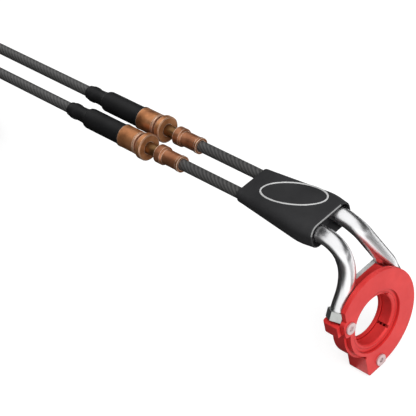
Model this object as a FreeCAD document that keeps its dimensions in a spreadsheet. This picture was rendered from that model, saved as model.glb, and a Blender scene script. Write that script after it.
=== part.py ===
import FreeCAD, Part
import Sketcher
import math
import os

# Push-pull twist throttle housing for a 22.2 mm handlebar, with its two control cables.
# Frame: origin on the handlebar axis, in the middle of the housing's clamp wall. +X runs along
# the bar towards the grip, +Z is up, and the front cable and tube are on the -Y side.
# The cables leave the housing through two goosenecks and run along -X.

doc = FreeCAD.newDocument("throttle")
sheet = doc.addObject("Spreadsheet::Sheet", "dims")

# Driving dimensions in millimetres and degrees.
DIMENSIONS = [
    # Fits
    ("running_gap", 0.08),
    ("seat_gap", 0.1),
    ("free_gap", 0.3),
    # Housing, measured along the bar and round it
    ("bar_radius", 11.1),
    ("clamp_wall", 1.6),
    ("cavity_length", 5.0),
    ("cover_thick", 2.4),
    ("cavity_wall", 3.5),
    ("ring_radius", 25.2),
    ("collar_radius", 16.9),
    ("recess_radius", 15.3),
    ("recess_depth", 1.2),
    ("cover_left", 17.2),
    ("cutaway_top", 4.8),
    ("cutaway_side", 9.6),
    ("flat_top", 20.0),
    ("flat_front", 4.5),
    ("flat_rear", 13.2),
    # Ears that carry the tubes and the screws
    ("ear_depth", 2.2),
    ("front_ear_past_seat", 4.85),
    ("rear_ear_past_seat", 4.6),
    ("ear_inner", 13.0),
    ("ear_thick", 5.6),
    ("ear_lip", 0.4),
    ("ear_corner", 2.0),
    ("cover_ear_outer", 19.2),
    ("cover_ear_top", 13.4),
    ("foot_outer", 10.2),
    ("foot_inner", 1.5),
    ("foot_below_ring", 1.0),
    ("foot_top", 15.0),
    ("foot_corner", 1.5),
    # Cover screws
    ("screw_shank", 1.25),
    ("screw_head", 2.8),
    ("screw_head_height", 0.8),
    ("screw_socket", 1.25),
    ("screw_socket_depth", 0.6),
    ("left_screw_y", -15.6),
    ("left_screw_z", 9.0),
    ("left_screw_length", 5.0),
    ("foot_screw_y", -1.8),
    ("foot_screw_height", 3.8),
    ("foot_screw_length", 9.0),
    # Cable reel
    ("hub_radius", 13.6),
    ("hub_bore", 12.0),
    ("hub_edge", 0.7),
    ("drum_side_gap", 0.2),
    ("wire_radius", 0.6),
    ("pitch_radius", 13.5),
    ("wire_depth", 0.5),
    ("groove_width", 1.4),
    ("groove_spacing", 2.0),
    ("nipple_radius", 1.0),
    ("nipple_length", 1.6),
    ("front_nipple_angle", 225.0),
    ("rear_nipple_angle", 247.0),
    ("front_wire_span", 45.0),
    ("rear_wire_span", 33.0),
    ("key_angle", -55.0),
    ("key_width", 1.2),
    ("key_depth", 0.9),
    ("drive_angle", 48.0),
    ("drive_width", 5.0),
    ("drive_depth", 1.1),
    # Goosenecks
    ("tube_radius", 3.85),
    ("tube_bore", 2.0),
    ("tube_seat_x", 1.4),
    ("front_seat_past_cavity", 1.45),
    ("front_seat_z", 11.3),
    ("front_lean", 32.0),
    ("rear_seat_past_cavity", 4.7),
    ("rear_seat_z", 8.0),
    ("rear_lean", 3.0),
    ("wire_hole", 1.3),
    ("tube_end_x", -15.8),
    ("front_tube_rise", 6.8),
    ("front_tube_bend", 39.0),
    ("front_knee_x", 1.75),
    ("front_knee_y", 4.6),
    ("front_knee_z", 27.2),
    ("front_knee_bend", 24.0),
    ("front_corner_x", 1.3),
    ("front_corner_radius", 9.0),
    ("rear_tube_rise", 7.9),
    ("rear_tube_bend", 16.0),
    ("rear_corner_x", -3.8),
    ("rear_corner_radius", 13.4),
    ("nut_flats", 8.6),
    ("nut_height", 4.2),
    ("bridge_width", 1.9),
    ("bridge_height", 2.4),
    ("bridge_top", 20.4),
    ("bridge_front", 11.0),
    ("bridge_rear", 18.0),
    # Cable run
    ("cable_height", 48.3),
    ("cable_offset", 7.0),
    ("cable_radius", 2.65),
    # Boot over the tube ends
    ("boot_narrow_x", -56.2),
    ("boot_narrow_half_width", 10.3),
    ("boot_narrow_below", 3.3),
    ("boot_narrow_above", 3.5),
    ("boot_narrow_shoulder", 2.6),
    ("boot_narrow_low_corner", 3.0),
    ("boot_full_x", -16.9),
    ("boot_full_half_width", 13.5),
    ("boot_full_below", 6.1),
    ("boot_full_above", 5.7),
    ("boot_full_shoulder", 4.5),
    ("boot_full_low_corner", 3.4),
    ("boot_end_x", -9.4),
    ("boot_end_half_width", 12.3),
    ("boot_end_below", 6.3),
    ("boot_end_above", 5.4),
    ("boot_end_shoulder", 5.0),
    ("boot_end_low_corner", 4.2),
    ("boot_mouth_depth", 5.0),
    ("boot_mouth_half_width", 11.1),
    ("boot_mouth_half_height", 4.5),
    ("boot_mouth_corner", 4.2),
    # In-line adjusters
    ("front_adjuster_x", -116.4),
    ("rear_adjuster_x", -118.4),
    ("lock_nut_radius", 6.5),
    ("lock_nut_length", 3.2),
    ("lock_boss_radius", 4.75),
    ("lock_boss_length", 1.8),
    ("barrel_radius", 5.5),
    ("lock_washer_radius", 5.6),
    ("lock_washer_thick", 0.9),
    ("barrel_length", 10.6),
    ("barrel_edge", 0.4),
    ("barrel_spigot_radius", 4.0),
    ("barrel_spigot_length", 6.6),
    ("stem_radius", 2.9),
    ("stem_bore", 1.5),
    ("stem_in_barrel", 17.0),
    ("stem_in_ferrule", 2.5),
    ("neck_length", 7.5),
    ("ferrule_collar_radius", 4.5),
    ("ferrule_collar_length", 3.6),
    ("ferrule_taper", 1.0),
    ("ferrule_radius", 3.7),
    ("ferrule_length", 15.0),
    ("ferrule_ring_radius", 3.95),
    ("ferrule_ring_length", 1.5),
    ("ferrule_socket", 6.0),
    ("sleeve_lip_radius", 5.65),
    ("sleeve_lip_length", 1.5),
    ("sleeve_radius", 5.05),
    ("sleeve_length", 26.0),
    ("sleeve_step_radius", 4.5),
    ("sleeve_neck_radius", 3.55),
    ("sleeve_bead_radius", 3.95),
    ("sleeve_bead_length", 3.0),
    ("sleeve_nose_length", 14.0),
    ("sleeve_end_radius", 3.4),
    ("sleeve_cable_gap", 0.2),
    ("far_cable_in_barrel", 20.0),
    # Put-away coils, their tie and what is on the far ends
    ("coil_x", -312.0),
    ("coil_start_radius", 36.3),
    ("coil_pitch", 6.0),
    ("coil_turns_each_way", 2.0),
    ("tie_width", 8.0),
    ("tie_thick", 1.6),
    ("tie_gap", 0.7),
    ("coil_lead", 15.0),
    ("fitting_length", 30.0),
    ("fitting_head_radius", 3.7),
    ("fitting_head_length", 9.0),
    ("fitting_flange_radius", 4.7),
    ("fitting_flange_length", 2.0),
    ("fitting_thread_radius", 3.5),
    ("fitting_edge", 0.5),
    ("fitting_bore_depth", 26.0),
    ("tail_length", 49.0),
    ("front_tail_inserted", 4.0),
    ("rear_tail_inserted", 23.5),
    ("end_nipple_radius", 2.5),
    ("end_nipple_length", 5.0),
]
for row, (alias, value) in enumerate(DIMENSIONS, 1):
    sheet.set("A%d" % row, alias)
    sheet.set("B%d" % row, str(value))
    sheet.setAlias("B%d" % row, alias)

# Sizes that follow from the driving ones.
DERIVED = [
    ("wall_back_x", "-clamp_wall / 2"),
    ("cavity_start_x", "clamp_wall / 2"),
    ("cover_back_x", "clamp_wall / 2 + cavity_length"),
    ("face_x", "clamp_wall / 2 + cavity_length + cover_thick"),
    ("drum_radius", "pitch_radius + wire_radius + wire_depth"),
    ("cavity_radius", "pitch_radius + wire_radius + wire_depth + free_gap"),
    ("shell_radius", "pitch_radius + wire_radius + wire_depth + free_gap + cavity_wall"),
    ("front_seat_y", "cavity_radius + front_seat_past_cavity"),
    ("rear_seat_y", "cavity_radius + rear_seat_past_cavity"),
    ("front_ear_outer", "front_seat_y + front_ear_past_seat"),
    ("rear_ear_outer", "rear_seat_y + rear_ear_past_seat"),
    ("foot_bottom", "ring_radius + foot_below_ring"),
    ("foot_screw_z", "foot_screw_height - ring_radius - foot_below_ring"),
    ("drum_start_x", "clamp_wall / 2 + drum_side_gap"),
    ("drum_end_x", "clamp_wall / 2 + cavity_length - drum_side_gap"),
    ("front_groove_x", "clamp_wall / 2 + cavity_length / 2 - groove_spacing / 2"),
    ("rear_groove_x", "clamp_wall / 2 + cavity_length / 2 + groove_spacing / 2"),
    ("groove_floor", "pitch_radius - wire_radius - running_gap"),
    ("hub_front_x", "clamp_wall / 2 + cavity_length + cover_thick - recess_depth"),
    ("washer_start", "lock_nut_length + lock_boss_length + seat_gap"),
    ("barrel_start", "lock_nut_length + lock_boss_length + lock_washer_thick + 2 * seat_gap"),
    ("barrel_shoulder", "barrel_start + barrel_length"),
    ("sleeve_start", "barrel_shoulder + seat_gap"),
    ("coil_centre_height", "cable_height - coil_start_radius"),
    ("coil_layer_offset", "cable_offset + coil_pitch"),
    ("fitting_x", "coil_x - coil_lead"),
]
for row, (alias, formula) in enumerate(DERIVED, len(DIMENSIONS) + 1):
    sheet.set("A%d" % row, alias)
    sheet.set("B%d" % row, "=" + formula)
    sheet.setAlias("B%d" % row, alias)
doc.recompute()

SIDES = [("front", -1), ("rear", 1)]
NODES = []


def size(alias):
    """The value of one cell, in millimetres or degrees."""
    return float(sheet.get(alias))


def formula(text):
    """A formula with every cell name given its sheet."""
    words = {alias for alias, _ in DIMENSIONS + DERIVED}
    out, word = "", ""
    for letter in text + " ":
        if letter.isalnum() or letter == "_":
            word += letter
        else:
            out += ("dims." + word if word in words else word) + letter
            word = ""
    return out.strip()


def bind(thing, **formulas):
    """Ties properties of an object to formulas; a double underscore stands for a dot."""
    for name, text in formulas.items():
        thing.setExpression(name.replace("__", "."), formula(text))
    return thing


def at(thing, x="0", y="0", z="0"):
    """Ties an object's place to formulas and keeps its rotation."""
    return bind(thing, Placement__Base__x=x, Placement__Base__y=y, Placement__Base__z=z)


def node(thing, label):
    """Marks an object as one finished piece."""
    thing.Label = label
    NODES.append(thing)
    return thing


ALONG_X = FreeCAD.Rotation(FreeCAD.Vector(0, 1, 0), 90)
AGAINST_X = FreeCAD.Rotation(FreeCAD.Vector(0, 1, 0), -90)
ALONG_Y = FreeCAD.Rotation(FreeCAD.Vector(1, 0, 0), -90)


def cylinder(name, radius, height, x="0", y="0", z="0", turn=ALONG_X):
    """A cylinder whose axis runs along +X unless another turn is given."""
    made = doc.addObject("Part::Cylinder", name)
    made.Placement.Rotation = turn
    return at(bind(made, Radius=radius, Height=height), x, y, z)


def box(name, low, high):
    """A box between two corners given as formulas."""
    made = doc.addObject("Part::Box", name)
    spans = ["(%s) - (%s)" % pair for pair in zip(high, low)]
    bind(made, Length=spans[0], Width=spans[1], Height=spans[2])
    return at(made, *low)


def rounded_box(name, low, high, corner, edges):
    """A box with some of its edges rounded."""
    made = doc.addObject("Part::Fillet", name)
    made.Base = box(name + "_block", low, high)
    made.Edges = [(edge, size(corner), size(corner)) for edge in edges]
    return made


def fused(name, pieces):
    made = doc.addObject("Part::MultiFuse", name)
    made.Shapes = pieces
    return made


def cut(name, base, tools):
    """A base with one tool or the union of several taken away."""
    made = doc.addObject("Part::Cut", name)
    made.Base = base
    made.Tool = tools[0] if len(tools) == 1 else fused(name + "_tools", tools)
    return made


def value(text):
    """What a formula gives now, worked out in a spare cell of the sheet."""
    sheet.set("D1", "=" + text)
    sheet.recompute()
    return float(sheet.get("D1"))


def turned(name, profile, place, turn=None):
    """A turned piece from a closed profile of (distance along the axis, radius) formulas."""
    body = doc.addObject("PartDesign::Body", name)
    sketch = body.newObject("Sketcher::SketchObject", name + "_profile")
    plane = [f for f in body.Origin.OriginFeatures if f.Role == "XY_Plane"][0]
    sketch.AttachmentSupport = [(plane, "")]
    sketch.MapMode = "FlatFace"
    points = [FreeCAD.Vector(value(along), value(radius), 0) for along, radius in profile]
    count = len(points)
    for i in range(count):
        sketch.addGeometry(Part.LineSegment(points[i], points[(i + 1) % count]), False)
    for i in range(count):
        sketch.addConstraint(Sketcher.Constraint("Coincident", i, 2, (i + 1) % count, 1))
    for i, (along, radius) in enumerate(profile):
        for kind, start, text in (("DistanceX", points[i].x, along), ("DistanceY", points[i].y, radius)):
            index = sketch.addConstraint(Sketcher.Constraint(kind, -1, 1, i, 1, start))
            sketch.setExpression("Constraints[%d]" % index, formula(text))
    spin = body.newObject("PartDesign::Revolution", name + "_turning")
    spin.Profile = sketch
    spin.ReferenceAxis = (sketch, ["H_Axis"])
    spin.Angle = 360
    if turn is not None:
        body.Placement.Rotation = turn
    return at(body, *place)


def filleted_path(points, radii):
    """Straight runs through the points, joined by arcs tangent to both runs at each corner."""
    edges, start = [], points[0]
    for i in range(1, len(points) - 1):
        corner = points[i]
        back = (points[i - 1] - corner).normalize()
        ahead = (points[i + 1] - corner).normalize()
        half_turn = (math.pi - back.getAngle(ahead)) / 2
        reach = radii[i - 1] * math.tan(half_turn)
        first = corner + back * reach
        last = corner + ahead * reach
        inward = (back + ahead).normalize()
        middle = corner + inward * (radii[i - 1] / math.cos(half_turn) - radii[i - 1])
        edges.append(Part.LineSegment(start, first).toShape())
        edges.append(Part.Arc(first, middle, last).toShape())
        start = last
    edges.append(Part.LineSegment(start, points[-1]).toShape())
    return Part.Wire(edges)


def swept(path, start, direction, radius):
    """A round section carried along a path."""
    ring = Part.Wire([Part.makeCircle(radius, start, direction)])
    return path.makePipeShell([ring], True, False)


def solid_feature(name, shape):
    made = doc.addObject("Part::Feature", name)
    made.Shape = shape
    return made


V = FreeCAD.Vector

# Housing body: a round shell open towards the grip, with ears for the tubes and the screws.
# The whole outside goes first, then the cavity, the holes and the seats are cut.
shell = cylinder("shell", "shell_radius", "cover_back_x - wall_back_x", "wall_back_x")
top_pad = box("top_pad", ("wall_back_x", "-flat_front", "0"), ("cover_back_x", "flat_rear", "flat_top"))
foot = rounded_box("foot", ("wall_back_x - ear_depth", "-foot_outer", "-foot_bottom"),
                   ("cover_back_x", "foot_inner", "-foot_top"), "foot_corner", [9, 11])
front_ear = rounded_box("front_ear",
                        ("wall_back_x - ear_depth", "-front_ear_outer", "front_seat_z + ear_lip - ear_thick"),
                        ("cover_back_x", "-ear_inner", "front_seat_z + ear_lip"), "ear_corner", [1])
rear_ear = rounded_box("rear_ear",
                       ("wall_back_x - ear_depth", "ear_inner", "rear_seat_z + ear_lip - ear_thick"),
                       ("cover_back_x", "rear_ear_outer", "rear_seat_z + ear_lip"), "ear_corner", [3])
outside = fused("housing_outside", [shell, top_pad, foot, front_ear, rear_ear])
cavity = cylinder("cavity", "cavity_radius", "cavity_length + free_gap", "cavity_start_x")
bar_hole = cylinder("bar_hole", "bar_radius", "clamp_wall + 2 * ear_depth + 2 * free_gap",
                    "wall_back_x - 2 * ear_depth")
foot_hole = cylinder("foot_screw_hole", "screw_shank + seat_gap",
                     "foot_screw_length - cover_thick + seat_gap + free_gap",
                     "cover_back_x - (foot_screw_length - cover_thick + seat_gap)",
                     "foot_screw_y", "foot_screw_z")
left_hole = cylinder("left_screw_hole", "screw_shank + seat_gap",
                     "left_screw_length - cover_thick + seat_gap + free_gap",
                     "cover_back_x - (left_screw_length - cover_thick + seat_gap)",
                     "left_screw_y", "left_screw_z")
seat_cuts = [cavity, bar_hole, foot_hole, left_hole]
for side, sign in SIDES:
    seat_y = "%d * %s_seat_y" % (sign, side)
    lean = FreeCAD.Rotation(V(sign, 0, 0), size(side + "_lean"))
    spot = cylinder(side + "_spot_face", "nut_flats / sqrt(3) + free_gap", "3 * nut_height",
                    "tube_seat_x", seat_y, side + "_seat_z", lean)
    bind(spot, Placement__Rotation__Angle=side + "_lean")
    seat_cuts.append(spot)
    reach = FreeCAD.Rotation(V(-sign, 0, 0), 20)
    wire_hole = cylinder(side + "_wire_hole", "wire_hole",
                         "sqrt((%s_seat_y - pitch_radius) ^ 2 + %s_seat_z ^ 2) + free_gap" % (side, side),
                         side + "_groove_x", "%d * pitch_radius" % sign, "0", reach)
    bind(wire_hole, Placement__Rotation__Angle="atan((%s_seat_y - pitch_radius) / %s_seat_z)" % (side, side))
    seat_cuts.append(wire_hole)
node(cut("housing_body_solid", outside, seat_cuts), "housing_body")

# Front cover: a flat ring with a collar on the cable side, an ear and a foot, counterbored in front.
ring = cylinder("cover_ring", "ring_radius", "cover_thick", "cover_back_x")
side_trim = box("cover_side_trim",
                ("cover_back_x - free_gap", "-ring_radius - cover_thick", "-ring_radius - cover_thick"),
                ("face_x + free_gap", "-cover_left", "ring_radius + cover_thick"))
corner_trim = box("cover_corner_trim",
                  ("cover_back_x - free_gap", "-ring_radius - cover_thick", "-ring_radius - cover_thick"),
                  ("face_x + free_gap", "-cutaway_side", "cutaway_top"))
trimmed = cut("cover_trimmed_ring", ring, [side_trim, corner_trim])
collar = cylinder("cover_collar", "collar_radius", "cover_thick", "cover_back_x")
cover_ear = rounded_box("cover_ear", ("cover_back_x", "-cover_ear_outer", "cutaway_top"),
                        ("face_x", "-ear_inner", "cover_ear_top"), "ear_corner", [9, 10])
cover_foot = rounded_box("cover_foot", ("cover_back_x", "-foot_outer", "-foot_bottom"),
                         ("face_x", "foot_inner", "-foot_top"), "foot_corner", [9, 11])
cover_outside = fused("cover_outside", [trimmed, collar, cover_ear, cover_foot])
cover_bore = cylinder("cover_bore", "hub_radius + running_gap", "cover_thick + 2 * free_gap",
                      "cover_back_x - free_gap")
counterbore = cylinder("cover_counterbore", "recess_radius", "recess_depth + free_gap",
                       "face_x - recess_depth")
cover_holes = [cover_bore, counterbore]
for which in ("left", "foot"):
    cover_holes.append(cylinder("cover_%s_hole" % which, "screw_shank + seat_gap",
                                "cover_thick + 2 * free_gap", "cover_back_x - free_gap",
                                which + "_screw_y", which + "_screw_z"))
node(cut("front_cover_solid", cover_outside, cover_holes), "front_cover")

# Two socket screws hold the cover.
screws = []
for which in ("left", "foot"):
    shank = cylinder(which + "_screw_shank", "screw_shank", which + "_screw_length + screw_head_height / 2",
                     "face_x - %s_screw_length" % which, which + "_screw_y", which + "_screw_z")
    head = cylinder(which + "_screw_head", "screw_head", "screw_head_height",
                    "face_x", which + "_screw_y", which + "_screw_z")
    socket = doc.addObject("Part::Prism", which + "_screw_socket")
    socket.Polygon = 6
    socket.Placement.Rotation = ALONG_X
    bind(socket, Circumradius="screw_socket", Height="screw_socket_depth + free_gap")
    at(socket, "face_x + screw_head_height - screw_socket_depth", which + "_screw_y", which + "_screw_z")
    screws.append(cut(which + "_screw", fused(which + "_screw_blank", [shank, head]), [socket]))
pair = doc.addObject("Part::Compound", "cover_screw_pair")
pair.Links = screws
node(pair, "cover_screws")

# Reel: a grooved drum in the cavity, with a hub through the cover that takes the throttle tube.
reel_profile = [
    ("drum_start_x", "hub_bore"),
    ("drum_start_x", "drum_radius"),
    ("front_groove_x - groove_width / 2", "drum_radius"),
    ("front_groove_x - groove_width / 2", "groove_floor"),
    ("front_groove_x + groove_width / 2", "groove_floor"),
    ("front_groove_x + groove_width / 2", "drum_radius"),
    ("rear_groove_x - groove_width / 2", "drum_radius"),
    ("rear_groove_x - groove_width / 2", "groove_floor"),
    ("rear_groove_x + groove_width / 2", "groove_floor"),
    ("rear_groove_x + groove_width / 2", "drum_radius"),
    ("drum_end_x", "drum_radius"), ("drum_end_x", "hub_radius"), ("hub_front_x", "hub_radius"),
    ("hub_front_x", "hub_bore + hub_edge"), ("hub_front_x - hub_edge", "hub_bore"),
]
drum = turned("reel_blank", reel_profile, ("0", "0", "0"))
key = box("key_slot", ("drum_start_x - free_gap", "0", "-key_width / 2"),
          ("hub_front_x + free_gap", "hub_bore + key_depth", "key_width / 2"))
key.Placement.Rotation = FreeCAD.Rotation(V(-1, 0, 0), -size("key_angle"))
bind(key, Placement__Base__y="key_width / 2 * sin(key_angle)",
     Placement__Base__z="-key_width / 2 * cos(key_angle)",
     Placement__Rotation__Angle="-key_angle")
drive = box("drive_notch", ("drum_end_x", "0", "-drive_width / 2"),
            ("hub_front_x + free_gap", "hub_bore + drive_depth", "drive_width / 2"))
drive.Placement.Rotation = FreeCAD.Rotation(V(1, 0, 0), size("drive_angle"))
bind(drive, Placement__Base__y="drive_width / 2 * sin(drive_angle)",
     Placement__Base__z="-drive_width / 2 * cos(drive_angle)",
     Placement__Rotation__Angle="drive_angle")
reel_cuts = [key, drive]
RING_TURN = FreeCAD.Rotation(V(1, 1, 1), 120)
for side, sign in SIDES:
    angle = side + "_nipple_angle"
    reel_cuts.append(cylinder(side + "_nipple_pocket", "nipple_radius + running_gap",
                              "nipple_length + 2 * seat_gap",
                              side + "_groove_x - nipple_length / 2 - seat_gap",
                              "pitch_radius * cos(%s)" % angle, "pitch_radius * sin(%s)" % angle))
node(cut("throttle_reel_solid", drum, reel_cuts), "throttle_reel")

# Each wire lies in its groove and ends in a small barrel nipple, whose bore takes the wire.
for side, sign in SIDES:
    angle = side + "_nipple_angle"
    start = size(angle) - (size("front_wire_span") if side == "front" else 0)
    wire = doc.addObject("Part::Torus", side + "_wire_in_groove")
    bind(wire, Radius1="pitch_radius", Radius2="wire_radius", Angle3=side + "_wire_span")
    wire.Placement.Rotation = FreeCAD.Rotation(V(1, 0, 0), start).multiply(RING_TURN)
    at(wire, side + "_groove_x")
    nipple = cylinder(side + "_reel_nipple_blank", "nipple_radius", "nipple_length",
                      side + "_groove_x - nipple_length / 2",
                      "pitch_radius * cos(%s)" % angle, "pitch_radius * sin(%s)" % angle)
    node(nipple, side + "_reel_nipple")
    node(cut(side + "_reel_wire_solid", wire, [nipple]), side + "_reel_wire")

# Goosenecks: chrome tubes that rise from the ears and turn along -X into the boot.
K = size("cable_height")
tube_room = []
for side, sign in SIDES:
    seat = V(size("tube_seat_x"), sign * size(side + "_seat_y"), size(side + "_seat_z"))
    lean = math.radians(size(side + "_lean"))
    rise = V(0, -sign * math.sin(lean), math.cos(lean))
    top = V(size(side + "_corner_x"), sign * size("cable_offset"), K)
    end = V(size("tube_end_x"), sign * size("cable_offset"), K)
    first = seat + rise * size(side + "_tube_rise")
    route = [seat, first, top, end]
    radii = [size(side + "_tube_bend"), size(side + "_corner_radius")]
    if side == "front":
        route.insert(2, V(size("front_knee_x"), -size("front_knee_y"), size("front_knee_z")))
        radii.insert(1, size("front_knee_bend"))
    path = filleted_path(route, radii)
    outer = swept(path, seat, rise, size("tube_radius"))
    bore = swept(path, seat, rise, size("tube_bore"))
    tube = solid_feature(side + "_tube_solid", outer.cut(bore))
    room = swept(path, seat, rise, size("tube_radius") + size("seat_gap"))
    tube_room.append(solid_feature(side + "_tube_room", room))
    node(tube, side + "_tube")
    print("%s tube bend radii" % side, radii, "length %.1f" % path.Length)

    hexagon = doc.addObject("Part::Prism", side + "_nut_hexagon")
    hexagon.Polygon = 6
    hexagon.Placement.Rotation = FreeCAD.Rotation(V(0, 0, 1), 30)
    bind(hexagon, Circumradius="nut_flats / sqrt(3)", Height="nut_height")
    through = doc.addObject("Part::Cylinder", side + "_nut_hole")
    bind(through, Radius="tube_radius + seat_gap", Height="nut_height")
    nut = doc.addObject("Part::Cut", side + "_nut_solid")
    nut.Base = hexagon
    nut.Tool = through
    nut.Placement.Rotation = FreeCAD.Rotation(V(sign, 0, 0), size(side + "_lean"))
    at(nut, "tube_seat_x", "%d * %s_seat_y" % (sign, side), side + "_seat_z")
    bind(nut, Placement__Rotation__Angle=side + "_lean")
    node(nut, side + "_tube_nut")

# A flat plate bridges the two tubes behind the housing; each tube passes through a notch in it.
plate = box("bridge_plate", ("wall_back_x - bridge_width", "-bridge_front", "bridge_top - bridge_height"),
            ("wall_back_x", "bridge_rear", "bridge_top"))
node(cut("tube_bridge_solid", plate, tube_room), "tube_bridge")

# Boot: a soft block over both tube ends, narrow where the cables leave, fullest near its other
# end, with a pocket in that end where the tubes come out.


def boot_outline(x, half, low, high, shoulder, corner):
    """A closed outline square to X: a box with large upper shoulders and small lower corners."""
    s = shoulder * (1 - math.sqrt(0.5))
    c = corner * (1 - math.sqrt(0.5))
    runs = [
        (V(x, -half + corner, low), V(x, half - corner, low), V(x, half - c, low + c)),
        (V(x, half, low + corner), V(x, half, high - shoulder), V(x, half - s, high - s)),
        (V(x, half - shoulder, high), V(x, -half + shoulder, high), V(x, -half + s, high - s)),
        (V(x, -half, high - shoulder), V(x, -half, low + corner), V(x, -half + c, low + c)),
    ]
    edges = []
    for i, (start, end, middle) in enumerate(runs):
        edges.append(Part.LineSegment(start, end).toShape())
        edges.append(Part.Arc(end, middle, runs[(i + 1) % 4][0]).toShape())
    return Part.Wire(edges)


outlines = []
for part in ("boot_narrow_", "boot_full_", "boot_end_"):
    outlines.append(boot_outline(size(part + "x"), size(part + "half_width"), K - size(part + "below"),
                                 K + size(part + "above"), size(part + "shoulder"),
                                 size(part + "low_corner")))
boot_block = solid_feature("boot_block", Part.makeLoft(outlines, True, True))
mouth_low = ("boot_end_x - boot_mouth_depth", "-boot_mouth_half_width", "cable_height - boot_mouth_half_height")
mouth_high = ("boot_end_x + free_gap", "boot_mouth_half_width", "cable_height + boot_mouth_half_height")
mouth = rounded_box("boot_mouth", mouth_low, mouth_high, "boot_mouth_corner", [9, 10, 11, 12])
boot_cuts = [mouth] + tube_room
for side, sign in SIDES:
    boot_cuts.append(cylinder(side + "_boot_cable_hole", "cable_radius + seat_gap",
                              "tube_end_x - boot_narrow_x + 2 * free_gap", "boot_narrow_x - free_gap",
                              "%d * cable_offset" % sign, "cable_height"))
node(cut("cable_boot_solid", boot_block, boot_cuts), "cable_boot")

# In-line adjusters: distances in the profiles are counted along -X from the lock nut's front face.
BACKWARDS = FreeCAD.Rotation(V(0, 0, 1), 180)
for side, sign in SIDES:
    place = (side + "_adjuster_x", "%d * cable_offset" % sign, "cable_height")
    nut_bore = "stem_radius + running_gap"
    node(turned(side + "_adjuster_stem", [
        ("-neck_length - stem_in_ferrule", "stem_bore"), ("-neck_length - stem_in_ferrule", "stem_radius"),
        ("stem_in_barrel", "stem_radius"), ("stem_in_barrel", "stem_bore"),
    ], place, BACKWARDS), side + "_adjuster_screw")
    node(turned(side + "_nut_blank", [
        ("0", nut_bore), ("0", "lock_nut_radius - barrel_edge"), ("barrel_edge", "lock_nut_radius"),
        ("lock_nut_length - barrel_edge", "lock_nut_radius"),
        ("lock_nut_length", "lock_nut_radius - barrel_edge"),
        ("lock_nut_length", "lock_boss_radius"),
        ("lock_nut_length + lock_boss_length", "lock_boss_radius"),
        ("lock_nut_length + lock_boss_length", nut_bore),
    ], place, BACKWARDS), side + "_lock_nut")
    node(turned(side + "_washer_blank", [
        ("washer_start", nut_bore), ("washer_start", "lock_washer_radius"),
        ("washer_start + lock_washer_thick", "lock_washer_radius"),
        ("washer_start + lock_washer_thick", nut_bore),
    ], place, BACKWARDS), side + "_lock_washer")
    node(turned(side + "_barrel_blank", [
        ("barrel_start", "stem_radius + running_gap"), ("barrel_start", "barrel_radius - barrel_edge"),
        ("barrel_start + barrel_edge", "barrel_radius"), ("barrel_shoulder", "barrel_radius"),
        ("barrel_shoulder", "barrel_spigot_radius"),
        ("barrel_shoulder + barrel_spigot_length", "barrel_spigot_radius"),
        ("barrel_shoulder + barrel_spigot_length", "cable_radius + seat_gap"),
        ("far_cable_in_barrel", "cable_radius + seat_gap"), ("far_cable_in_barrel", "stem_bore"),
        ("stem_in_barrel + free_gap", "stem_bore"),
        ("stem_in_barrel + free_gap", "stem_radius + running_gap"),
    ], place, BACKWARDS), side + "_adjuster_barrel")
    sleeve_bore = "cable_radius + sleeve_cable_gap"
    nose = "sleeve_start + sleeve_length"
    tip = "sleeve_start + sleeve_length + sleeve_nose_length"
    inside = "barrel_shoulder + barrel_spigot_length + free_gap"
    node(turned(side + "_sleeve_blank", [
        ("sleeve_start", "barrel_spigot_radius + seat_gap"), ("sleeve_start", "sleeve_lip_radius"),
        ("sleeve_start + sleeve_lip_length", "sleeve_lip_radius"),
        ("sleeve_start + sleeve_lip_length + free_gap", "sleeve_radius"),
        (nose, "sleeve_radius"), (nose + " + free_gap", "sleeve_step_radius"),
        (nose + " + sleeve_bead_length", "sleeve_neck_radius"),
        (tip + " - 2 * sleeve_bead_length", "sleeve_neck_radius"),
        (tip + " - 1.5 * sleeve_bead_length", "sleeve_bead_radius"),
        (tip + " - 0.5 * sleeve_bead_length", "sleeve_bead_radius"),
        (tip, "sleeve_end_radius"), (tip, sleeve_bore), (inside, sleeve_bore),
        (inside, "barrel_spigot_radius + seat_gap"),
    ], place, BACKWARDS), side + "_dust_sleeve")
    node(turned(side + "_ferrule_blank", [
        ("-neck_length", "stem_radius + seat_gap"), ("-neck_length", "ferrule_collar_radius"),
        ("-neck_length - ferrule_collar_length", "ferrule_collar_radius"),
        ("-neck_length - ferrule_collar_length - ferrule_taper", "ferrule_radius"),
        ("-neck_length - ferrule_length + ferrule_ring_length", "ferrule_radius"),
        ("-neck_length - ferrule_length + ferrule_ring_length", "ferrule_ring_radius"),
        ("-neck_length - ferrule_length", "ferrule_ring_radius"),
        ("-neck_length - ferrule_length", "cable_radius + seat_gap"),
        ("-neck_length - ferrule_length + ferrule_socket", "cable_radius + seat_gap"),
        ("-neck_length - ferrule_length + ferrule_socket", "stem_bore"),
        ("-neck_length - stem_in_ferrule - seat_gap", "stem_bore"),
        ("-neck_length - stem_in_ferrule - seat_gap", "stem_radius + seat_gap"),
    ], place, BACKWARDS), side + "_adjuster_ferrule")

    # The cable's outer casing: one straight length to the ferrule and one on to the coil.
    near_end = "%s_adjuster_x + neck_length + ferrule_length - ferrule_socket" % side
    node(cylinder(side + "_upper_casing_run", "cable_radius", "tube_end_x - (%s)" % near_end,
                  near_end, place[1], place[2]), side + "_upper_casing")
    node(cylinder(side + "_lower_casing_run", "cable_radius",
                  "%s_adjuster_x - far_cable_in_barrel - coil_x" % side,
                  "coil_x", place[1], place[2]), side + "_lower_casing")


# Put-away coils: each winds in for the first half and out for the second half, a layer further out.


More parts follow.
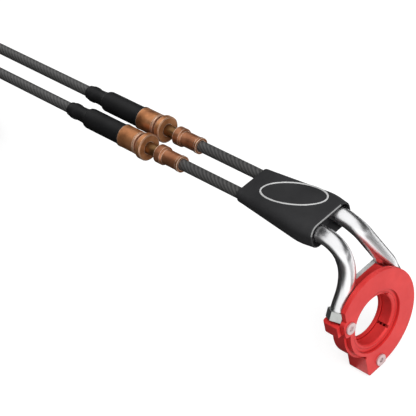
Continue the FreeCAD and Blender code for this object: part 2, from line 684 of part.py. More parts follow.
def coil_point(n, sign, height):
    """A point of the coil's centreline after n turns from its top."""
    half = size("coil_turns_each_way")
    inward = n if n <= half else 2 * half - n
    radius = size("coil_start_radius") - size("coil_pitch") * inward
    angle = math.radians(90 + 360 * n)
    climb = min(max((n - half + 0.25) / 0.5, 0), 1)
    lift = size("coil_pitch") * climb * climb * (3 - 2 * climb)
    return V(size("coil_x") + radius * math.cos(angle), sign * (size("cable_offset") + lift),
             height + radius * math.sin(angle))


def coil_tangent(n, sign, height):
    step = 0.0005
    return (coil_point(n + step, sign, height) - coil_point(n - step, sign, height)).normalize()


def biarc(p0, t0, p1, t1):
    """Two arcs from p0 to p1 that start along t0 and end along t1."""
    v = p1 - p0
    t = t0 + t1
    a = 2 * (1 - t0.dot(t1))
    b = 2 * v.dot(t)
    d = (-b + math.sqrt(b * b + 4 * a * v.dot(v))) / (2 * a)
    join = (p0 + t0 * d + p1 - t1 * d) * 0.5
    edges = []
    for start, tangent, end in ((p0, t0, join), (join, (p1 - t1 * d - p0 - t0 * d).normalize(), p1)):
        chord = end - start
        side_way = chord - tangent * chord.dot(tangent)
        across = side_way.Length
        radius = chord.dot(chord) / (2 * across)
        centre = start + side_way.normalize() * radius
        toward = (start + end) * 0.5 - centre
        edges.append(Part.Arc(start, centre + toward.normalize() * radius, end).toShape())
    return edges


height = size("coil_centre_height")
turns = 2 * size("coil_turns_each_way")
for side, sign in SIDES:
    steps = int(round(turns * 4))
    knots = [coil_point(turns * i / steps, sign, height) for i in range(steps + 1)]
    tangents = [coil_tangent(turns * i / steps, sign, height) for i in range(steps + 1)]
    tangents[0] = V(-1, 0, 0)
    tangents[-1] = V(-1, 0, 0)
    edges = []
    for i in range(steps):
        edges += biarc(knots[i], tangents[i], knots[i + 1], tangents[i + 1])
    end = knots[-1] - V(size("coil_lead"), 0, 0)
    edges.append(Part.LineSegment(knots[-1], end).toShape())
    path = Part.Wire(edges)
    coil = swept(path, knots[0], tangents[0], size("cable_radius"))
    node(solid_feature(side + "_coil_solid", coil), side + "_cable_coil")
    samples = path.discretize(Number=900)
    apart = path.Length / 899
    skip = int(8 * size("cable_radius") / apart) + 1
    gap = min((samples[i] - samples[j]).Length for i in range(0, 900, 3) for j in range(i + skip, 900))
    print("%s coil length %.1f, least self gap %.2f, volume ratio %.4f, smallest turn radius %.1f" % (
        side, path.Length, gap - 2 * size("cable_radius"),
        coil.Volume / (math.pi * size("cable_radius") ** 2 * path.Length),
        size("coil_start_radius") - size("coil_pitch") * size("coil_turns_each_way")))

    # Carburettor end: a crimped fitting on the casing, and the inner wire with its barrel nipple.
    far = ("fitting_x", "%d * coil_layer_offset" % sign, "cable_height")
    grip = "fitting_length - fitting_bore_depth"
    node(turned(side + "_fitting_blank", [
        ("0", "0"), ("0", "fitting_head_radius - fitting_edge"), ("fitting_edge", "fitting_head_radius"),
        ("fitting_head_length", "fitting_head_radius"), ("fitting_head_length", "fitting_flange_radius"),
        ("fitting_head_length + fitting_flange_length", "fitting_flange_radius"),
        ("fitting_head_length + fitting_flange_length", "fitting_thread_radius"),
        ("fitting_length - fitting_edge", "fitting_thread_radius"),
        ("fitting_length", "fitting_thread_radius - fitting_edge"),
        ("fitting_length", "wire_radius + running_gap"), (grip, "wire_radius + running_gap"), (grip, "0"),
    ], far, BACKWARDS), side + "_end_fitting")
    tail_end = "fitting_x - fitting_length + %s_tail_inserted - tail_length" % side
    tail = cylinder(side + "_tail_blank", "wire_radius", "tail_length", tail_end, far[1], far[2])
    barrel = cylinder(side + "_end_nipple_blank", "end_nipple_radius", "end_nipple_length",
                      tail_end + " + end_nipple_radius / 2", "%s - end_nipple_length / 2" % far[1],
                      far[2], ALONG_Y)
    node(cut(side + "_tail_solid", tail, [barrel]), side + "_tail_wire")
    node(barrel, side + "_end_nipple")

# One strap holds the turns of both coils together at the bottom.
out_low = "coil_centre_height - coil_start_radius - cable_radius"
strap_low = [("coil_x - tie_width / 2", "-coil_layer_offset - cable_radius - free_gap - tie_thick",
              out_low + " - tie_thick + coil_pitch / 2 - tie_gap"),
             ("coil_x - tie_width / 2 - free_gap", "-coil_layer_offset - cable_radius - free_gap",
              out_low + " + coil_pitch / 2 - tie_gap")]
tie_top = "coil_centre_height - coil_start_radius + cable_radius + coil_pitch * (coil_turns_each_way - 0.5)"
tie_top += " + tie_gap"
strap_high = [("coil_x + tie_width / 2", "coil_layer_offset + cable_radius + free_gap + tie_thick",
               tie_top + " + tie_thick"),
              ("coil_x + tie_width / 2 + free_gap", "coil_layer_offset + cable_radius + free_gap", tie_top)]
strap = box("tie_outside", strap_low[0], strap_high[0])
node(cut("coil_tie_solid", strap, [box("tie_inside", strap_low[1], strap_high[1])]), "coil_tie")

sheet.clear("D1")
doc.recompute()
for thing in doc.Objects:
    if "Invalid" in thing.State or "Error" in thing.State:
        raise RuntimeError("%s failed: %s" % (thing.Name, thing.State))
names = [thing.Label for thing in NODES]
if len(set(names)) != len(names):
    raise RuntimeError("two pieces share a name")
for thing in NODES:
    if thing.Shape.isNull() or not thing.Shape.isValid() or not thing.Shape.Solids:
        raise RuntimeError("%s has no sound solid" % thing.Label)
os.makedirs("parts", exist_ok=True)
for thing in NODES:
    thing.Shape.exportStep("parts/%s.step" % thing.Label)
print("%d pieces written" % len(NODES))
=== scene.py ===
import math
import bmesh
import bpy
from mathutils import Matrix, Vector


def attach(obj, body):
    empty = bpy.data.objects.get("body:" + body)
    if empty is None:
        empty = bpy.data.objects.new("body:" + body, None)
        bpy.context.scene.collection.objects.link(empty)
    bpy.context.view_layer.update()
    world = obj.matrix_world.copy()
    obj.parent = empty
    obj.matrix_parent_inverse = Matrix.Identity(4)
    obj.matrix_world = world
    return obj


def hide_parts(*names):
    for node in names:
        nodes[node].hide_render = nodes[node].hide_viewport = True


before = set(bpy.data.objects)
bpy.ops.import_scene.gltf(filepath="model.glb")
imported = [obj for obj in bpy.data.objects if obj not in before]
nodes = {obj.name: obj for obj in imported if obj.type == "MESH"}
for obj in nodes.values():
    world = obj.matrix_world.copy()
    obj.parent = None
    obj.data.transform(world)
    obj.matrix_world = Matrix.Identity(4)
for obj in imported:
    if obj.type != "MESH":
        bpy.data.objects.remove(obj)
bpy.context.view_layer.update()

scene = bpy.context.scene
scene.view_settings.view_transform = "Standard"

# Each cable's name and the side of the middle plane on which it lies.
SIDES = (("front", -1), ("rear", 1))
MM = 0.001

# Places and sizes shared with the solids, in millimetres. The cables leave along -X.
CABLE_HEIGHT = 48.3
CABLE_OFFSET = 7.0
CABLE_RADIUS = 2.65
UPPER_START = -15.8
ADJUSTER_X = {"front": -116.4, "rear": -118.4}
ADJUSTER_FRONT = 16.5
ADJUSTER_BACK = 20.0
COIL_X = -312.0
COIL_RADIUS = 36.3
COIL_LEAD = 15.0
COIL_PITCH = 6.0
COIL_TURNS = 4.0
TIE_GAP = 0.7
FLOOR_Z = -26.3


# ---- camera ----
# Its axes and its place in millimetres, fitted to the circles of the cover and the bore.
CAMERA_RIGHT = Vector((0.6926081, 0.6963633, -0.1880746))
CAMERA_UP = Vector((-0.3595908, 0.5593654, 0.7468633))
CAMERA_BACK = Vector((0.6252907, -0.4496537, 0.6378269))
CAMERA_PLACE = Vector((373.868, -335.611, 493.300))
SENSOR_WIDTH = 36
FOCAL_LENGTH = 138.46


def add_camera():
    data = bpy.data.cameras.new("camera")
    data.sensor_width = SENSOR_WIDTH
    data.lens = FOCAL_LENGTH
    data.clip_end = 20
    camera = bpy.data.objects.new("camera", data)
    scene.collection.objects.link(camera)
    scene.camera = camera
    turned = Matrix((CAMERA_RIGHT, CAMERA_UP, CAMERA_BACK)).transposed().to_4x4()
    turned.translation = CAMERA_PLACE * MM
    camera.matrix_world = turned


add_camera()


# ---- materials ----
# How far the softened normal leans from the true one where the painted edge highlight starts and
# where it is full.
EDGE_HIGHLIGHT_STARTS, EDGE_HIGHLIGHT_FULL = 0.992, 0.93
# How open a place is where the painted shade of grooves and corners starts and where it is full.
CREVICE_SHADE_STARTS, CREVICE_SHADE_FULL = 0.75, 0.3


class Nodes:
    """A small helper round one material's node tree."""

    def __init__(self, name):
        self.material = bpy.data.materials.new(name)
        self.material.use_nodes = True
        self.tree = self.material.node_tree
        self.shader = self.tree.nodes["Principled BSDF"]
        where = self.add("ShaderNodeTexCoord")
        self.place = where.outputs["Object"]

    def add(self, kind, **values):
        """A new node, with each value set on its property or else on its socket of that name."""
        made = self.tree.nodes.new(kind)
        for key, value in values.items():
            if hasattr(made, key):
                setattr(made, key, value)
            else:
                made.inputs[key.replace("_", " ")].default_value = value
        return made

    def link(self, start, end):
        self.tree.links.new(start, end)

    def set(self, **values):
        """Constants of the shader."""
        for key, value in values.items():
            self.shader.inputs[key.replace("_", " ")].default_value = value

    def stretched(self, stretch):
        """The object's own coordinates, scaled along each axis."""
        mapping = self.add("ShaderNodeMapping")
        mapping.inputs["Scale"].default_value = stretch
        self.link(self.place, mapping.inputs["Vector"])
        return mapping.outputs["Vector"]

    def noise(self, scale, detail=4.0, stretch=(1, 1, 1)):
        made = self.add("ShaderNodeTexNoise", Scale=scale, Detail=detail)
        self.link(self.stretched(stretch), made.inputs["Vector"])
        return made.outputs["Fac"]

    def ribs(self, where, scale, distortion):
        """Slanting ribs, as of a wound wire."""
        made = self.add("ShaderNodeTexWave", bands_direction="DIAGONAL", Scale=scale,
                        Distortion=distortion)
        self.link(where, made.inputs["Vector"])
        return made.outputs["Fac"]

    def ramp(self, source, *stops):
        """A colour that follows the source through (position, colour) stops."""
        made = self.add("ShaderNodeValToRGB")
        ramp = made.color_ramp
        while len(ramp.elements) < len(stops):
            ramp.elements.new(0.5)
        for element, (position, colour) in zip(ramp.elements, stops):
            element.position = position
            element.color = (*colour, 1)
        self.link(source, made.inputs["Fac"])
        return made.outputs["Color"]

    def colour(self, source):
        self.link(source, self.shader.inputs["Base Color"])

    def rough(self, source, low, high):
        """Roughness between two values."""
        made = self.add("ShaderNodeMapRange")
        made.inputs["To Min"].default_value = low
        made.inputs["To Max"].default_value = high
        self.link(source, made.inputs["Value"])
        self.link(made.outputs["Result"], self.shader.inputs["Roughness"])

    def bump(self, source, strength, distance):
        made = self.add("ShaderNodeBump", Strength=strength, Distance=distance)
        self.link(source, made.inputs["Height"])
        self.link(made.outputs["Normal"], self.shader.inputs["Normal"])
        return made

    def edges(self, bump, radius):
        """Softens the sharp edges of a solid where the light catches them."""
        made = self.add("ShaderNodeBevel", samples=4, Radius=radius)
        self.link(made.outputs["Normal"], bump.inputs["Normal"])

    def mix(self, kind, share, one, two):
        """Mixes a colour from a socket with a plain one by the share."""
        made = self.add("ShaderNodeMix", data_type="RGBA", blend_type=kind)
        self.link(share, made.inputs[0])
        self.link(one, made.inputs[6])
        made.inputs[7].default_value = (*two, 1)
        return made.outputs[2]

    def edge_highlight(self, colour, light, radius):
        """Painted highlight: a lighter colour along the edges, where a chamfer would catch the
        light.
        """
        soft = self.add("ShaderNodeBevel", samples=8, Radius=radius)
        true = self.add("ShaderNodeNewGeometry")
        dot = self.add("ShaderNodeVectorMath", operation="DOT_PRODUCT")
        self.link(soft.outputs["Normal"], dot.inputs[0])
        self.link(true.outputs["Normal"], dot.inputs[1])
        share = self.add("ShaderNodeMapRange", From_Min=EDGE_HIGHLIGHT_STARTS, From_Max=EDGE_HIGHLIGHT_FULL)
        self.link(dot.outputs["Value"], share.inputs["Value"])
        return self.mix("MIX", share.outputs["Result"], colour, light)

    def crevice_shade(self, colour, distance, dark):
        """Painted shade: a darker colour in narrow grooves and corners, where the ambient occlusion
        is low.
        """
        open_sky = self.add("ShaderNodeAmbientOcclusion", samples=8, Distance=distance)
        share = self.add("ShaderNodeMapRange", From_Min=CREVICE_SHADE_STARTS, From_Max=CREVICE_SHADE_FULL)
        self.link(open_sky.outputs["AO"], share.inputs["Value"])
        return self.mix("MULTIPLY", share.outputs["Result"], colour, dark)


RED_DARK = (0.66, 0.030, 0.030)
RED_LIGHT = (0.80, 0.050, 0.047)
# The colour that paints shade into the red's narrow grooves and corners.
RED_CREVICE_SHADE = (0.35, 0.2, 0.2)
CHROME_WHITE = (0.96, 0.96, 0.97, 1)
STEEL_SHADE = 0.72
# The copper's painted highlight along its edges, and the colour that paints shade into its grooves.
COPPER_EDGE_HIGHLIGHT = (1.0, 0.74, 0.56)
COPPER_CREVICE_SHADE = (0.55, 0.42, 0.36)
RUBBER_SHEEN = 1.5
CASING_DARK = (0.045, 0.045, 0.045)
CASING_LIGHT = (0.085, 0.084, 0.083)
WIRE_GREY = (0.5, 0.5, 0.5, 1)


def red_anodised():
    n = Nodes("red_anodised")
    n.set(Metallic=0.2, Specular_IOR_Level=0.4)
    blotch = n.ramp(n.noise(90, 5), (0.25, RED_DARK), (0.75, RED_LIGHT))
    # Painted shade: the red darkens in narrow grooves and corners.
    n.colour(n.crevice_shade(blotch, 0.0018, RED_CREVICE_SHADE))
    n.rough(n.noise(400, 4), 0.34, 0.5)
    n.edges(n.bump(n.noise(2600, 3), 0.12, 0.00006), 0.00035)
    return n.material


def chrome():
    n = Nodes("chrome_tube")
    n.set(Metallic=1.0, Base_Color=CHROME_WHITE)
    n.rough(n.noise(180, 5, (1, 1, 0.3)), 0.3, 0.36)
    n.bump(n.noise(700, 2), 0.02, 0.00003)
    return n.material


def steel(name, colour, low=0.24, high=0.42, metallic=0.9):
    """Plain or plated metal with a brushed grain, its roughness between low and high."""
    n = Nodes(name)
    n.set(Metallic=metallic)
    dark = tuple(value * STEEL_SHADE for value in colour)
    n.colour(n.ramp(n.noise(260, 6), (0.3, dark), (0.7, colour)))
    n.rough(n.noise(500, 3), low, high)
    n.edges(n.bump(n.noise(1800, 2, (0.15, 1, 1)), 0.15, 0.00006), 0.0002)
    return n.material


def copper(name, dark, middle, light):
    """Copper plate with tarnish, turning marks, a painted highlight along its edges and painted
    shade in its grooves.
    """
    n = Nodes(name)
    n.set(Metallic=0.75, Specular_IOR_Level=0.5)
    tarnish = n.ramp(n.noise(150, 6), (0.28, dark), (0.5, middle), (0.72, light))
    # Painted highlight along the edges and painted shade in the grooves.
    n.colour(n.crevice_shade(n.edge_highlight(tarnish, COPPER_EDGE_HIGHLIGHT, 0.0007), 0.001, COPPER_CREVICE_SHADE))
    n.rough(n.noise(420, 4), 0.3, 0.5)
    turning = n.noise(900, 2, (1.6, 0.12, 0.12))
    n.edges(n.bump(turning, 0.25, 0.00008), 0.00035)
    return n.material


def rubber(name, colour, low, high, gloss=0.3):
    """Rubber or soft plastic with a fine grain, its roughness between low and high."""
    n = Nodes(name)
    n.set(Specular_IOR_Level=gloss)
    light = tuple(value * RUBBER_SHEEN for value in colour)
    n.colour(n.ramp(n.noise(70, 5), (0.3, colour), (0.75, light)))
    n.rough(n.noise(220, 4), low, high)
    n.bump(n.noise(1500, 3), 0.3, 0.00008)
    return n.material


def casing_plastic():
    """Grey plastic over a wound steel casing, whose lay shows through as faint slanting ribs."""
    n = Nodes("casing_plastic")
    n.set(Specular_IOR_Level=0.4)
    ribs = n.ribs(n.place, 240.0, 0.6)
    n.colour(n.ramp(ribs, (0.2, CASING_DARK), (0.8, CASING_LIGHT)))
    n.rough(n.noise(300, 4), 0.36, 0.5)
    n.bump(ribs, 0.35, 0.0001)
    return n.material


def twisted_wire():
    n = Nodes("wire_steel")
    n.set(Metallic=0.85, Base_Color=WIRE_GREY)
    strands = n.ribs(n.stretched((1.0, 1.6, 1.6)), 260.0, 0.0)
    n.rough(strands, 0.3, 0.5)
    n.bump(strands, 0.6, 0.00015)
    return n.material


RED = red_anodised()
CHROME = chrome()
NUT = steel("nut_steel", (0.60, 0.62, 0.60))
BRIDGE = steel("bridge_steel", (0.82, 0.84, 0.83), 0.35, 0.5, 0.25)
SCREW = steel("screw_steel", (0.80, 0.62, 0.62), 0.3, 0.45, 0.6)
COPPER = copper("copper_plate", (0.27, 0.10, 0.038), (0.55, 0.225, 0.09), (0.76, 0.36, 0.17))
DULL_COPPER = copper("copper_dull", (0.21, 0.075, 0.034), (0.39, 0.155, 0.072), (0.57, 0.25, 0.13))
BRIGHT_COPPER = copper("copper_bright", (0.50, 0.21, 0.10), (0.80, 0.42, 0.24), (0.92, 0.58, 0.38))
BRASS = steel("neck_brass", (0.30, 0.16, 0.062), 0.28, 0.42)
BOOT_RUBBER = rubber("boot_rubber", (0.022, 0.022, 0.023), 0.5, 0.65, gloss=0.28)
# A lighter grey that paints a highlight along the boot's rim.
LIP_HIGHLIGHT_RUBBER = rubber("boot_lip_highlight", (0.22, 0.22, 0.22), 0.5, 0.65)
SLEEVE = rubber("sleeve_rubber", (0.007, 0.007, 0.0075), 0.45, 0.6, gloss=0.2)
CASING = casing_plastic()
TIE = rubber("tie_plastic", (0.015, 0.015, 0.015), 0.4, 0.55)
BADGE = rubber("badge_line", (0.42, 0.42, 0.42), 0.4, 0.55)
WIRE = twisted_wire()

FINISH = {
    "housing_body": RED, "front_cover": RED, "throttle_reel": RED, "cover_screws": SCREW,
    "tube_bridge": BRIDGE, "cable_boot": BOOT_RUBBER, "coil_tie": TIE,
}
SIDE_FINISH = {
    "tube": CHROME, "tube_nut": NUT, "reel_wire": WIRE, "reel_nipple": BRASS,
    "upper_casing": CASING, "lower_casing": CASING, "cable_coil": CASING,
    "adjuster_ferrule": DULL_COPPER, "adjuster_screw": BRASS, "lock_nut": COPPER,
    "lock_washer": BRIGHT_COPPER, "adjuster_barrel": COPPER, "dust_sleeve": SLEEVE,
    "end_fitting": NUT, "tail_wire": WIRE, "end_nipple": BRASS,
}
for side, _ in SIDES:
    FINISH.update({side + "_" + part: material for part, material in SIDE_FINISH.items()})
for name, material in FINISH.items():
    nodes[name].data.materials.clear()
    nodes[name].data.materials.append(material)


# ---- soft pieces ----
def piece(name, data, material, body="housing"):
    """A visible piece that rides on a body of the assembly."""
    made = bpy.data.objects.new(name, data)
    scene.collection.objects.link(made)
    made.data.materials.append(material)
    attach(made, body)
    return made


def rings_mesh(name, rings, caps=True, sharp=40):
    """A skin through rings of equally many points, with or without flat caps at both ends."""
    shape = bmesh.new()
    loops = [[shape.verts.new(Vector(point) * MM) for point in ring] for ring in rings]
    for one, two in zip(loops, loops[1:]):
        count = len(one)
        for i in range(count):
            shape.faces.new((one[i], one[(i + 1) % count], two[(i + 1) % count], two[i]))
    if caps:
        shape.faces.new(list(reversed(loops[0])))
        shape.faces.new(loops[-1])
    bmesh.ops.recalc_face_normals(shape, faces=shape.faces)
    mesh = bpy.data.meshes.new(name)
    shape.to_mesh(mesh)
    shape.free()
    mesh.polygons.foreach_set("use_smooth", [True] * len(mesh.polygons))
    mesh.set_sharp_from_angle(angle=math.radians(sharp))
    return mesh


def rounded_ring(x, half, low, high, lower, upper, points):
    """A rectangle across the X axis, with the radii of its lower and of its upper corners."""
    ring = []
    for cy, cz, radius, first in ((half - lower, low + lower, lower, -90),
                                  (half - upper, high - upper, upper, 0),
                                  (-half + upper, high - upper, upper, 90),
                                  (-half + lower, low + lower, lower, 180)):
        for i in range(points):
            angle = math.radians(first + 90 * i / (points - 1))
            ring.append((x, cy + radius * math.cos(angle), cz + radius * math.sin(angle)))
    return ring


# The sleeve's outline from its rolled lip to its tip and back inside: the distance behind the
# adjuster's place, and the radius.
SLEEVE_OUTLINE = (
    (16.3, 4.3), (16.3, 5.0), (16.45, 5.4), (16.75, 5.6), (17.2, 5.62), (17.6, 5.5), (17.8, 5.2),
    (17.95, 5.05), (24, 5.02), (32, 5.05), (38, 5.05), (41.4, 5.04), (42.0, 4.9), (42.4, 4.55),
    (43.2, 4.2), (44.6, 3.8), (46.4, 3.6), (49.4, 3.55), (50.2, 3.6), (50.9, 3.85), (51.6, 3.92),
    (52.9, 3.92), (53.6, 3.85), (54.4, 3.6), (55.4, 3.45), (56.0, 3.38), (56.15, 3.2),
    (56.15, 2.9), (55.8, 2.86), (23.2, 2.86), (23.2, 4.15),
)
SLEEVE_SEGMENTS = 56


def dust_sleeve(side, sign):
    """A moulded sleeve with a rolled lip, a long body, a stepped nose and a bead near its tip."""
    rings = []
    for along, radius in SLEEVE_OUTLINE + SLEEVE_OUTLINE[:1]:
        ring = []
        for i in range(SLEEVE_SEGMENTS):
            angle = 2 * math.pi * i / SLEEVE_SEGMENTS
            ring.append((ADJUSTER_X[side] - along, sign * CABLE_OFFSET + radius * math.cos(angle),
                         CABLE_HEIGHT + radius * math.sin(angle)))
        rings.append(ring)
    mesh = rings_mesh(side + "_sleeve_skin", rings, caps=False)
    made = piece(side + "_sleeve_skin", mesh, SLEEVE, side + "_sleeve")
    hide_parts(side + "_dust_sleeve")


# The boot's main sections: x, half width, depth below and height above the cables, radius of
# the upper and of the lower corners.
BOOT = (
    (-56.2, 10.3, 3.3, 3.5, 2.6, 3.0),
    (-16.9, 13.5, 6.1, 5.7, 4.5, 3.4),
    (-9.4, 12.3, 6.3, 5.4, 5.0, 4.2),
)
BOOT_START, BOOT_END = BOOT[0][0], BOOT[-1][0]
# The sizes at x are the mean of those at these places, which eases the change of slope.
BOOT_EASE = (-3.2, -1.6, 0.0, 1.6, 3.2)
# The rounded cable end: the distance from the start, and how far the outline is drawn in.
BOOT_TAIL = ((0.0, 0.9), (0.08, 0.45), (0.35, 0.12))
# The rolled mouth and the pocket inside it: the distance from the end, and the same.
BOOT_MOUTH = (
    (0.35, 0.06), (0.12, 0.22), (0.0, 0.45), (0.0, 0.62), (0.12, 0.8), (0.5, 0.9), (3.6, 1.0),
    (5.4, 1.3), (5.8, 3.4),
)
BOOT_RINGS = 36
# The part of the rim with a painted highlight: its depth, how far it reaches above the cables and
# to the rear.
LIP_DEPTH = 0.3
LIP_ABOVE_CABLES = 1.6
LIP_REAR = 7.5
# The oval line on the boot: its place, its half axes, its turn in degrees, its half thickness
# in the boot's face and across it.
OVAL_X, OVAL_Y = -32.2, 2.2
OVAL_LONG, OVAL_SHORT = 16.0, 7.0
OVAL_TURN = math.radians(17.5)
OVAL_LINE, OVAL_RISE = 0.42, 0.16
OVAL_POINTS, OVAL_LINE_POINTS = 96, 10


def boot_sizes(x):
    """The boot's half width, depth, height and corner radii at x."""
    total = [0.0] * 5
    for shift in BOOT_EASE:
        at = min(max(x + shift, BOOT_START), BOOT_END)
        one, two = (BOOT[0], BOOT[1]) if at <= BOOT[1][0] else (BOOT[1], BOOT[2])
        t = (at - one[0]) / (two[0] - one[0])
        total = [value + (a + (b - a) * t) / len(BOOT_EASE)
                 for value, a, b in zip(total, one[1:], two[1:])]
    return total


def boot_ring(x, inset=0.0):
    """One outline of the boot at x."""
    half, below, above, upper, lower = boot_sizes(x)
    return rounded_ring(x, half - inset, CABLE_HEIGHT - below + inset, CABLE_HEIGHT + above - inset,
                        max(lower - inset, 0.5), max(upper - inset, 0.6), 12)


def boot():
    """The rubber boot: a full wedge with a rolled mouth, a pocket inside it and a painted highlight
    along its rim.
    """
    rings = [boot_ring(BOOT_START + ahead, inset) for ahead, inset in BOOT_TAIL]
    first, last = BOOT_START + 0.9, BOOT_END - 0.7
    for i in range(BOOT_RINGS):
        rings.append(boot_ring(first + (last - first) * i / (BOOT_RINGS - 1)))
    rings += [boot_ring(BOOT_END - back, inset) for back, inset in BOOT_MOUTH]
    skin = piece("boot_skin", rings_mesh("boot_skin", rings, sharp=50), BOOT_RUBBER)
    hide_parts("cable_boot")

    # The rim of the mouth is painted a lighter grey on top and on the near side, as a highlight.
    skin.data.materials.append(LIP_HIGHLIGHT_RUBBER)
    for face in skin.data.polygons:
        x, y, z = (value / MM for value in face.center)
        if x > BOOT_END - LIP_DEPTH and z > CABLE_HEIGHT + LIP_ABOVE_CABLES and y < LIP_REAR:
            face.material_index = 1


def turned(x, y):
    """A direction turned with the oval."""
    return (x * math.cos(OVAL_TURN) - y * math.sin(OVAL_TURN),
            x * math.sin(OVAL_TURN) + y * math.cos(OVAL_TURN))


def boot_oval():
    """A plain oval line that lies on the boot's flat top."""
    rings = []
    for i in range(OVAL_POINTS):
        a = 2 * math.pi * i / OVAL_POINTS
        along_x, along_y = turned(OVAL_LONG * math.cos(a), OVAL_SHORT * math.sin(a))
        x, y = OVAL_X + along_x, OVAL_Y + along_y
        z = CABLE_HEIGHT + boot_sizes(x)[2]
        square_x, square_y = OVAL_SHORT * math.cos(a), OVAL_LONG * math.sin(a)
        length = math.hypot(square_x, square_y)
        out_x, out_y = turned(square_x / length, square_y / length)
        ring = []
        for j in range(OVAL_LINE_POINTS):
            b = 2 * math.pi * j / OVAL_LINE_POINTS
            out, rise = OVAL_LINE * math.cos(b), OVAL_RISE * math.sin(b)
            ring.append((x + out_x * out, y + out_y * out, z + rise))
        rings.append(ring)
    mesh = rings_mesh("boot_oval", rings + rings[:1], caps=False)
    piece("boot_oval", mesh, BADGE)


# The strap's outside: x from its middle, how far the inside gives way there, and the wall.
STRAP_OUTSIDE = (
    (-4.0, 0.35, 0.9), (-3.6, 0.1, 1.4), (-3.0, 0.0, 1.6), (3.0, 0.0, 1.6), (3.6, 0.1, 1.4),
    (4.0, 0.35, 0.9),
)
STRAP_INSIDE = ((4.0, 0.35), (3.0, 0.0), (-3.0, 0.0), (-4.0, 0.35))
STRAP_SIDE_GAP = 0.3


def strap_ring(x, half, low, high, corner):
    return rounded_ring(COIL_X + x, half, low, high, corner, corner, 8)


def tie():
    """A soft strap with rounded edges round both coils."""
    half = COIL_PITCH + CABLE_OFFSET + CABLE_RADIUS + STRAP_SIDE_GAP
    lowest_turn = CABLE_HEIGHT - COIL_RADIUS - COIL_RADIUS
    low = lowest_turn - CABLE_RADIUS + COIL_PITCH / 2 - TIE_GAP
    high = lowest_turn + CABLE_RADIUS + COIL_PITCH * 1.5 + TIE_GAP
    rings = []
    for x, grow, wall in STRAP_OUTSIDE:
        rings.append(strap_ring(x, half + grow + wall, low - grow - wall, high + grow + wall, 3.0))
    for x, grow in STRAP_INSIDE:
        rings.append(strap_ring(x, half + grow, low - grow, high + grow, 1.6))
    mesh = rings_mesh("coil_strap", rings + rings[:1], caps=False)
    made = piece("coil_strap", mesh, TIE)
    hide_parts("coil_tie")


# ---- cords ----
UPPER_POINTS = (-36.0, -58.0, -80.0)
LOWER_POINTS = (-180.0, -226.0, -272.0)
POINTS_PER_TURN = 20
# The share of a turn in which the coil steps over to its second layer.
CROSSING = 0.5


def casing(name, route):
    """A round casing along a smooth spline whose control points are the route."""
    curve = bpy.data.curves.new(name, "CURVE")
    curve.dimensions = "3D"
    spline = curve.splines.new("NURBS")
    spline.points.add(len(route) - 1)
    for point, place in zip(spline.points, route):
        point.co = (*(Vector(place) * MM), 1)
    spline.order_u = 3
    spline.use_endpoint_u = True
    spline.resolution_u = 6
    curve.bevel_depth = CABLE_RADIUS * MM
    curve.bevel_resolution = 6
    curve.use_fill_caps = True
    return piece(name, curve, CASING)


def coil_route(sign):
    """The coil's turns: inward in one layer, then outward in a second layer further out in Y."""
    route = []
    half = COIL_TURNS / 2
    for i in range(int(COIL_TURNS * POINTS_PER_TURN) + 1):
        n = i / POINTS_PER_TURN
        inward = n if n <= half else COIL_TURNS - n
        radius = COIL_RADIUS - COIL_PITCH * inward
        angle = math.radians(90 + 360 * n)
        climb = min(max((n - half + CROSSING / 2) / CROSSING, 0), 1)
        lift = COIL_PITCH * climb * climb * (3 - 2 * climb)
        route.append((COIL_X + radius * math.cos(angle), sign * (CABLE_OFFSET + lift),
                      CABLE_HEIGHT - COIL_RADIUS + radius * math.sin(angle)))
    return route


def cables(side, sign):
    """Both stretches of one cable: from the boot to the adjuster, and on into the coil."""
    y = sign * CABLE_OFFSET
    near = ADJUSTER_X[side] + ADJUSTER_FRONT
    upper = casing(side + "_upper_cable",
                   [(x, y, CABLE_HEIGHT) for x in (UPPER_START, *UPPER_POINTS, near)])
    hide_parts(side + "_upper_casing")
    start = ADJUSTER_X[side] - ADJUSTER_BACK
    route = [(x, y, CABLE_HEIGHT) for x in (start, *LOWER_POINTS)] + coil_route(sign)
    route.append((COIL_X - COIL_LEAD, sign * (CABLE_OFFSET + COIL_PITCH), CABLE_HEIGHT))
    lower = casing(side + "_lower_cable", route)
    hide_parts(side + "_lower_casing", side + "_cable_coil")


for side, sign in SIDES:
    dust_sleeve(side, sign)
boot()
boot_oval()
tie()
for side, sign in SIDES:
    cables(side, sign)


# ---- studio ----
# Grey levels: the floor's own, the floor as the camera sees it on top of its light, the sky's
# light on the object, and the black cards.
FLOOR_GREY = 0.38
FLOOR_WHITE = 0.74
SKY_LIGHT = 0.2
CARD_GREY = 0.01
FLOOR_HALF = 8
GROUND = FLOOR_Z * MM
CARD_GROUND = GROUND + 0.0002


def matt(name, grey, roughness, gloss):
    """A plain matt material, and its shader."""
    material = bpy.data.materials.new(name)
    material.use_nodes = True
    shader = material.node_tree.nodes["Principled BSDF"]
    shader.inputs["Base Color"].default_value = (grey, grey, grey, 1)
    shader.inputs["Roughness"].default_value = roughness
    shader.inputs["Specular IOR Level"].default_value = gloss
    return material, shader


def seen(tree):
    """1 for what the camera, a gloss or a glass sees, and 0 for light on its way."""
    rays = tree.nodes.new("ShaderNodeLightPath")
    share = rays.outputs["Is Camera Ray"]
    for name in ("Is Glossy Ray", "Is Transmission Ray"):
        most = tree.nodes.new("ShaderNodeMath")
        most.operation = "MAXIMUM"
        tree.links.new(share, most.inputs[0])
        tree.links.new(rays.outputs[name], most.inputs[1])
        share = most.outputs[0]
    return share


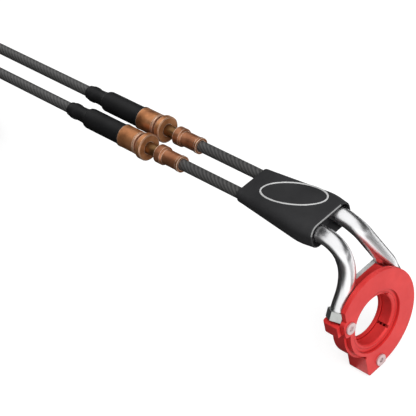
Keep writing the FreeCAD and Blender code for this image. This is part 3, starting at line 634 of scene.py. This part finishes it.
def floor_material():
    """A pale floor that camera and metals see as white paper, with the object's shadow on it."""
    material, shader = matt("studio_floor", FLOOR_GREY, 0.9, 0.1)
    shader.inputs["Emission Color"].default_value = (1, 1, 1, 1)
    tree = material.node_tree
    white = tree.nodes.new("ShaderNodeMath")
    white.operation = "MULTIPLY"
    white.inputs[1].default_value = FLOOR_WHITE
    tree.links.new(seen(tree), white.inputs[0])
    tree.links.new(white.outputs[0], shader.inputs["Emission Strength"])
    return material


def sky():
    """A dim even sky for the light, which camera and metals see as a white backdrop."""
    world = bpy.data.worlds.new("studio")
    scene.world = world
    world.use_nodes = True
    tree = world.node_tree
    shade = tree.nodes["Background"]
    shade.inputs["Color"].default_value = (1, 1, 1, 1)
    level = tree.nodes.new("ShaderNodeMapRange")
    level.inputs["To Min"].default_value = SKY_LIGHT
    level.inputs["To Max"].default_value = 1.0
    tree.links.new(seen(tree), level.inputs["Value"])
    tree.links.new(level.outputs["Result"], shade.inputs["Strength"])


def plane(name, corners, material):
    mesh = bpy.data.meshes.new(name)
    mesh.from_pydata(corners, [], [(0, 1, 2, 3)])
    made = bpy.data.objects.new(name, mesh)
    scene.collection.objects.link(made)
    mesh.materials.append(material)
    return made


def level_corners(x, y, z):
    """The corners of a level card from its ranges in x and y and its height."""
    return [(x[0], y[0], z), (x[1], y[0], z), (x[1], y[1], z), (x[0], y[1], z)]


def upright_corners(start, end, foot, start_top, end_top):
    """The corners of an upright card from its two ends in plan, its foot and its tops."""
    return [(*start, foot), (*end, foot), (*end, end_top), (*start, start_top)]


def card(name, corners):
    """A black studio card that only reflections see."""
    made = plane(name, corners, matt(name, CARD_GREY, 1.0, 0.0)[0])
    made.visible_camera = False
    made.visible_diffuse = False
    made.visible_shadow = False


def lamp(name, place, target, size, power):
    """A soft square lamp that metals don't mirror."""
    light = bpy.data.lights.new(name, "AREA")
    light.size = size
    light.energy = power
    made = bpy.data.objects.new(name, light)
    made.location = place
    aim = Vector(target) - Vector(place)
    made.rotation_euler = aim.to_track_quat("-Z", "Y").to_euler()
    scene.collection.objects.link(made)
    made.visible_glossy = False


floor_range = (-FLOOR_HALF, FLOOR_HALF)
plane("floor", level_corners(floor_range, floor_range, GROUND), floor_material())
card("front_floor_flag", level_corners((-1.6, 0.04), (-1.4, -0.03), CARD_GROUND))
card("rear_floor_flag", level_corners((-1.6, 0.0), (-0.03, 0.2), CARD_GROUND))
card("side_flag", upright_corners((-1.5, -0.1), (-0.5, -1.3), CARD_GROUND, 1.1, 1.1))
card("back_flag", upright_corners((-1.6, 0.45), (0.45, 0.45), CARD_GROUND, 0.4, 0.4))
card("right_flag", upright_corners((0.45, 0.0), (0.45, 0.45), CARD_GROUND, 0.1, 0.4))
card("corner_flag", level_corners((0.07, 0.2), (-0.02, 0.45), CARD_GROUND))
card("tube_flag", upright_corners((-0.1, -0.25), (-0.1, 0.15), 0.06, 0.3, 0.3))
card("roof_flag", level_corners((-0.1, -0.03), (-0.25, 0.15), 0.3))
sky()
lamp("key", (0.85, -0.1, 0.7), (-0.05, 0, 0), 1.0, 13)
lamp("top", (-0.3, 0.0, 1.0), (-0.2, 0, 0), 0.9, 6)
